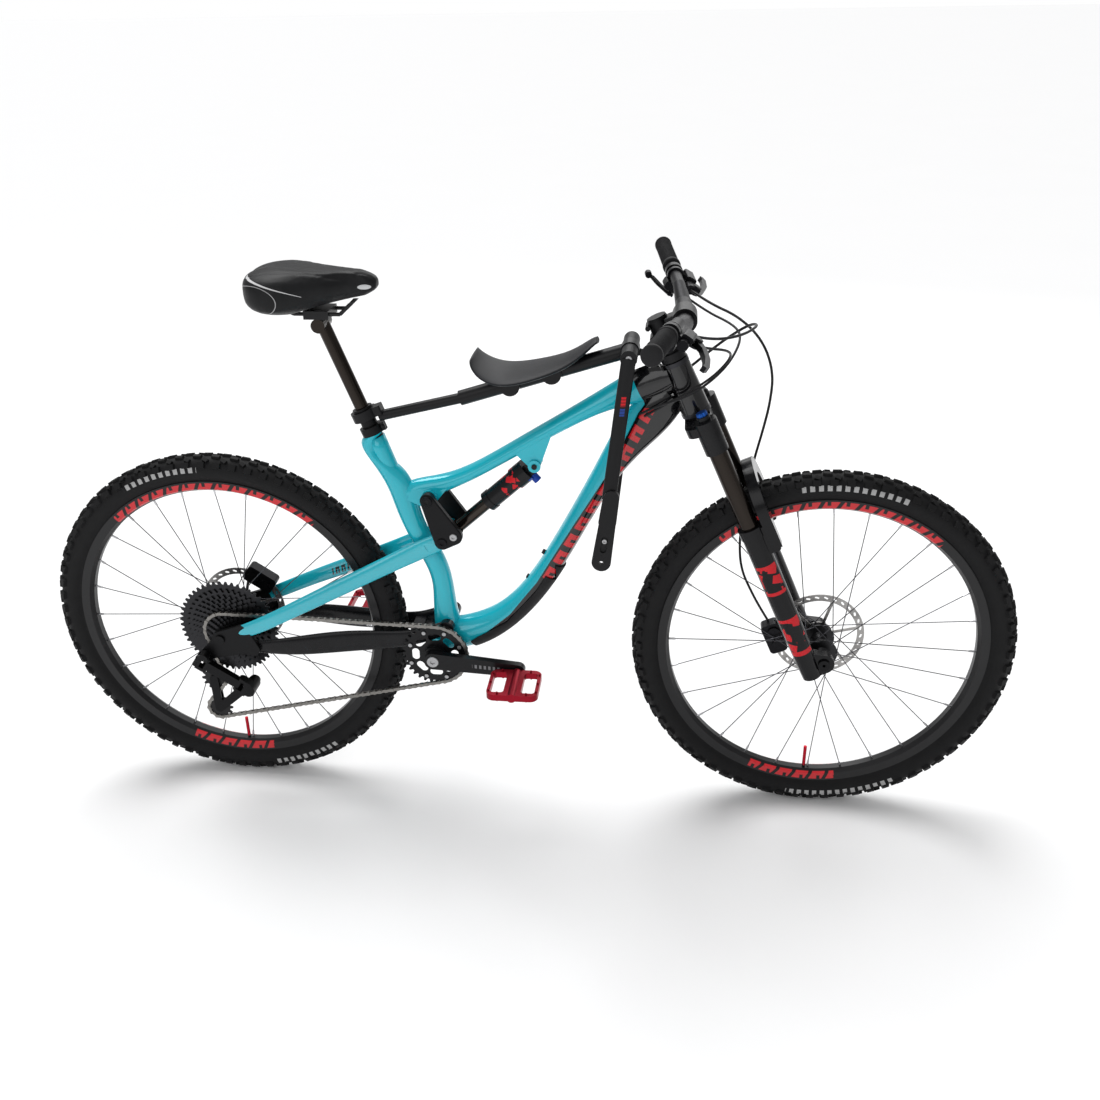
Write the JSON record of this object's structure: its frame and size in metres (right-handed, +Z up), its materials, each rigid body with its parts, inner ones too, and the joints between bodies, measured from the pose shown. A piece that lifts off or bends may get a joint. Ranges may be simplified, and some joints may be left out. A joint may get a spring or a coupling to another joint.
{
  "type": "mountain bicycle",
  "caption": "Full-suspension trail bicycle with disc brakes, dropper post and a child seat carrier clamped over the top tube.",
  "frame": {"origin": "on the ground, at the middle of the box the bicycle fills", "axes": "+X forward, +Y to the rider's left, +Z up"},
  "size_m": [1.9358, 0.7656, 1.1039],
  "materials": {
    "frame_paint": "gloss turquoise paint with black panels",
    "black_paint": "gloss black paint",
    "seatstay_paint": "gloss turquoise paint",
    "rubber_guard": "matte moulded guard",
    "dark_alloy": "satin black anodised",
    "bearing_alloy": "satin grey anodised",
    "stanchion_coat": "polished dark bronze coat",
    "bar_coat": "satin dark grey",
    "grip_rubber": "matte ribbed rubber with end caps",
    "control_alloy": "satin black controls",
    "carrier_coat": "satin black powder coat",
    "child_pad": "soft black moulded pad",
    "leg_plastic": "matte black moulding",
    "saddle_skin": "black synthetic leather with pale accent lines",
    "saddle_shell": "black shell and rails",
    "tyre_rubber": "knobby black tread",
    "rim_alloy": "satin black with red arcs",
    "hub_alloy": "black anodised",
    "spoke_steel": "stainless",
    "rotor_steel": "brushed stainless with dark spider",
    "cassette_steel": "dark plated steel",
    "chain_steel": "silver chain",
    "crank_alloy": "gloss black",
    "pedal_alloy": "dark red anodised",
    "shock_coat": null,
    "shock_chrome": "polished shaft",
    "derailleur_alloy": "satin black",
    "pulley_plastic": "black",
    "hose_jacket": "black hose jacket"
  },
  "bodies": {
    "root": {"front_triangle": "frame_paint", "down_tube_guard": "rubber_guard", "frame_bearings": "bearing_alloy", "seat_clamp": "dark_alloy", "dropper_outer": "dark_alloy", "frame_fittings": "rubber_guard", "carrier_clamps": "carrier_coat", "carrier_beam": "carrier_coat", "child_saddle": "child_pad"},
    "steering": {"fork_crown": "black_paint", "fork_stanchions": "stanchion_coat", "stem": "dark_alloy", "handlebar": "bar_coat", "grips": "grip_rubber", "brake_lever_bodies": "control_alloy", "shifter_bodies": "control_alloy", "front_brake_hose": "hose_jacket", "control_cables": "hose_jacket"},
    "brake_blade_left": {"brake_blade_left": "control_alloy"},
    "brake_blade_right": {"brake_blade_right": "control_alloy"},
    "shift_lever": {"shift_lever": "control_alloy"},
    "dropper_lever": {"dropper_lever": "control_alloy"},
    "fork_lowers": {"fork_lowers": "black_paint", "front_axle": "dark_alloy", "front_caliper": "control_alloy"},
    "front_wheel": {"front_tyre": "tyre_rubber", "front_rim": "rim_alloy", "front_hub": "hub_alloy", "front_spokes": "spoke_steel", "front_rotor": "rotor_steel"},
    "rear_wheel": {"rear_tyre": "tyre_rubber", "rear_rim": "rim_alloy", "rear_hub": "hub_alloy", "rear_spokes": "spoke_steel", "rear_rotor": "rotor_steel"},
    "cassette": {"cassette": "cassette_steel"},
    "crankset": {"chainring": "crank_alloy", "crank_arm_right": "crank_alloy", "crank_arm_left": "crank_alloy"},
    "pedal_right": {"pedal_right": "pedal_alloy"},
    "pedal_left": {"pedal_left": "pedal_alloy"},
    "chainstay": {"chainstay": "black_paint", "chain": "chain_steel"},
    "seatstay": {"seatstay": "seatstay_paint", "dropouts": "dark_alloy", "rear_axle": "dark_alloy", "rear_caliper": "control_alloy"},
    "rocker": {"rocker_link": "dark_alloy"},
    "shock_body": {"shock_body": "shock_coat"},
    "shock_shaft": {"shock_shaft": "shock_chrome"},
    "derailleur_links": {"derailleur_links": "derailleur_alloy"},
    "derailleur_body": {"derailleur_body": "derailleur_alloy"},
    "derailleur_cage": {"derailleur_cage": "derailleur_alloy"},
    "guide_wheel": {"guide_wheel": "pulley_plastic"},
    "tension_wheel": {"tension_wheel": "pulley_plastic"},
    "saddle": {"seatpost_shaft": "stanchion_coat", "saddle_base": "saddle_shell", "saddle_cover": "saddle_skin"},
    "leg_left": {"leg_left": "leg_plastic"},
    "leg_right": {"leg_right": "leg_plastic"}
  },
  "joints": [
    {"name": "steering_turn", "type": "hinge", "parent": "root", "child": "steering", "pos_m": [0.5578, 0, 0.3521], "axis": [-0.4067, 0, 0.9135], "range_deg": [-45, 45], "deforming": ["control_cables", "front_brake_hose"]},
    {"name": "brake_squeeze_left", "type": "hinge", "parent": "steering", "child": "brake_blade_left", "pos_m": [0.32974, 0.172, 1.02451], "axis": [0.5299, 0.0009, 0.848], "range_deg": [0, 14], "stiffness_Nm_per_rad": 4, "springref_deg": -2.86},
    {"name": "brake_squeeze_right", "type": "hinge", "parent": "steering", "child": "brake_blade_right", "pos_m": [0.32974, -0.172, 1.02451], "axis": [-0.5299, 0.0009, -0.848], "range_deg": [0, 14], "stiffness_Nm_per_rad": 4, "springref_deg": -2.86},
    {"name": "shift_press", "type": "hinge", "parent": "steering", "child": "shift_lever", "pos_m": [0.28211, -0.18197, 1.01938], "axis": [0.5299, -0.0009, 0.848], "range_deg": [0, 18], "stiffness_Nm_per_rad": 1, "springref_deg": -2.86},
    {"name": "dropper_press", "type": "hinge", "parent": "steering", "child": "dropper_lever", "pos_m": [0.28211, 0.18197, 1.01938], "axis": [-0.5299, -0.0009, -0.848], "range_deg": [0, 18], "stiffness_Nm_per_rad": 1, "springref_deg": -2.86},
    {"name": "fork_travel", "type": "slide", "parent": "steering", "child": "fork_lowers", "axis": [-0.4067, 0, 0.9135], "range_m": [0, 0.14], "stiffness_N_per_m": 6000, "springref_m": -0.005, "deforming": ["front_brake_hose"]},
    {"name": "front_wheel_spin", "type": "hinge", "parent": "fork_lowers", "child": "front_wheel", "pos_m": [0.598, 0, 0.37], "axis": [0, 1, 0], "continuous": true},
    {"name": "chainstay_pivot", "type": "hinge", "parent": "root", "child": "chainstay", "pos_m": [-0.14, 0, 0.395], "axis": [0, 1, 0], "range_deg": [0, 16.5], "stiffness_Nm_per_rad": 1160, "springref_deg": -1.15, "deforming": ["chain"]},
    {"name": "seatstay_pivot", "type": "hinge", "parent": "chainstay", "child": "seatstay", "pos_m": [-0.5316, 0, 0.3496], "axis": [0, 1, 0], "range_deg": [-5.3, 0.2]},
    {"name": "rocker_pivot", "type": "hinge", "parent": "root", "child": "rocker", "pos_m": [-0.1608, 0, 0.6732], "axis": [0, 1, 0], "range_deg": [-36.5, 0.2]},
    {"name": "shock_body_pivot", "type": "hinge", "parent": "root", "child": "shock_body", "pos_m": [0.042, 0, 0.741], "axis": [0, 1, 0], "range_deg": [-0.2, 2.2]},
    {"name": "shock_shaft_slide", "type": "slide", "parent": "shock_body", "child": "shock_shaft", "axis": [0.7431, 0, 0.6692], "range_m": [-0.0005, 0.0545]},
    {"name": "rear_wheel_spin", "type": "hinge", "parent": "seatstay", "child": "rear_wheel", "pos_m": [-0.598, 0, 0.37], "axis": [0, 1, 0], "continuous": true},
    {"name": "crank_spin", "type": "hinge", "parent": "root", "child": "crankset", "pos_m": [-0.164, 0, 0.338], "axis": [0, 1, 0], "continuous": true, "deforming": ["chain"]},
    {"name": "cassette_spin", "type": "hinge", "parent": "seatstay", "child": "cassette", "pos_m": [-0.598, 0, 0.37], "axis": [0, 1, 0], "continuous": true},
    {"name": "pedal_right_spin", "type": "hinge", "parent": "crankset", "child": "pedal_right", "pos_m": [0.00647, 0, 0.32459], "axis": [0, 1, 0], "continuous": true},
    {"name": "pedal_left_spin", "type": "hinge", "parent": "crankset", "child": "pedal_left", "pos_m": [-0.33447, 0, 0.35141], "axis": [0, 1, 0], "continuous": true},
    {"name": "derailleur_shift", "type": "hinge", "parent": "seatstay", "child": "derailleur_links", "pos_m": [-0.63132, -0.092, 0.31773], "axis": [0.5592, 0, 0.829], "range_deg": [-13, 16], "deforming": ["chain"]},
    {"name": "derailleur_body_turn", "type": "hinge", "parent": "derailleur_links", "child": "derailleur_body", "pos_m": [-0.565, -0.092, 0.273], "axis": [0.5592, 0, 0.829], "range_deg": [-16.5, 13.5]},
    {"name": "cage_swing", "type": "hinge", "parent": "derailleur_body", "child": "derailleur_cage", "pos_m": [-0.548, 0, 0.261], "axis": [0, 1, 0], "range_deg": [-41, 33.5]},
    {"name": "guide_wheel_spin", "type": "hinge", "parent": "derailleur_cage", "child": "guide_wheel", "pos_m": [-0.638, 0, 0.256], "axis": [0, 1, 0], "continuous": true},
    {"name": "tension_wheel_spin", "type": "hinge", "parent": "derailleur_cage", "child": "tension_wheel", "pos_m": [-0.636, 0, 0.184], "axis": [0, 1, 0], "continuous": true},
    {"name": "seat_drop", "type": "slide", "parent": "root", "child": "saddle", "axis": [-0.3453, 0, 0.9385], "range_m": [-0.15, 0]},
    {"name": "leg_left_swing", "type": "hinge", "parent": "root", "child": "leg_left", "pos_m": [0.216, 0, 0.962], "axis": [0, 1, 0], "range_deg": [-10, 10]},
    {"name": "leg_right_swing", "type": "hinge", "parent": "root", "child": "leg_right", "pos_m": [0.216, 0, 0.962], "axis": [0, 1, 0], "range_deg": [-10, 10]}
  ],
  "couplings": [
    {"joint": "seatstay_pivot", "follows": "chainstay_pivot", "ratio": -0.2733},
    {"joint": "rocker_pivot", "follows": "chainstay_pivot", "ratio": -1.9464},
    {"joint": "shock_body_pivot", "follows": "chainstay_pivot", "ratio": 0.0982},
    {"joint": "shock_shaft_slide", "follows": "chainstay_pivot", "m_per_rad": 0.16441},
    {"joint": "cassette_spin", "follows": "crank_spin", "ratio": 1.5238},
    {"joint": "guide_wheel_spin", "follows": "crank_spin", "ratio": -2.6667},
    {"joint": "tension_wheel_spin", "follows": "crank_spin", "ratio": 2.6667},
    {"joint": "derailleur_body_turn", "follows": "derailleur_shift", "ratio": -1},
    {"joint": "cage_swing", "follows": "derailleur_shift", "ratio": -2.5}
  ]
}
